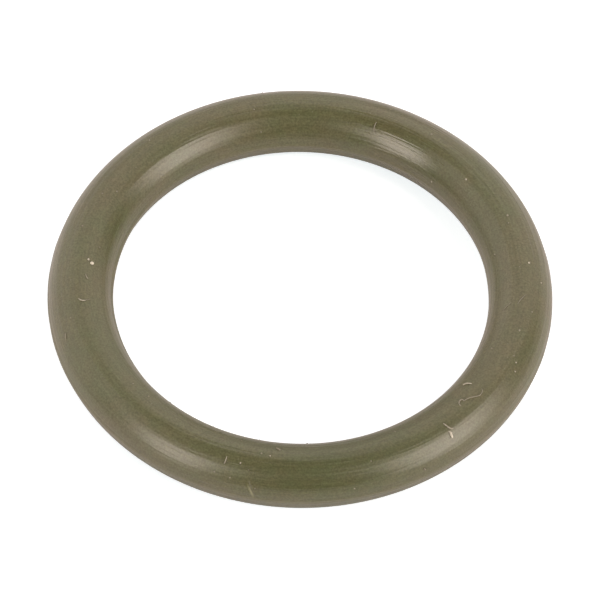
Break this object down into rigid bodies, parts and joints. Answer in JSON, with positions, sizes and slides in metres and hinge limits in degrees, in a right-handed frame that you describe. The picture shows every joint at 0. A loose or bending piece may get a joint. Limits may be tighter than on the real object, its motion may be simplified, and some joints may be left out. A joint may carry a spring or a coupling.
{
  "type": "o-ring",
  "caption": "Plain moulded rubber ring of round section with a fine parting ridge, squeezed in a groove to seal oil between a tube, shaft or plug and its housing.",
  "frame": {"origin": "middle of the hole, on the parting plane halfway up the ring", "axes": "+Z along the ring's axis; the ring lies flat and is the same all round, so X and Y are any two directions across it"},
  "size_m": [0.016, 0.016, 0.002],
  "materials": {
    "olive_rubber": "satin moulded olive-green rubber"
  },
  "bodies": {
    "root": {"o_ring": "olive_rubber"}
  },
  "joints": []
}
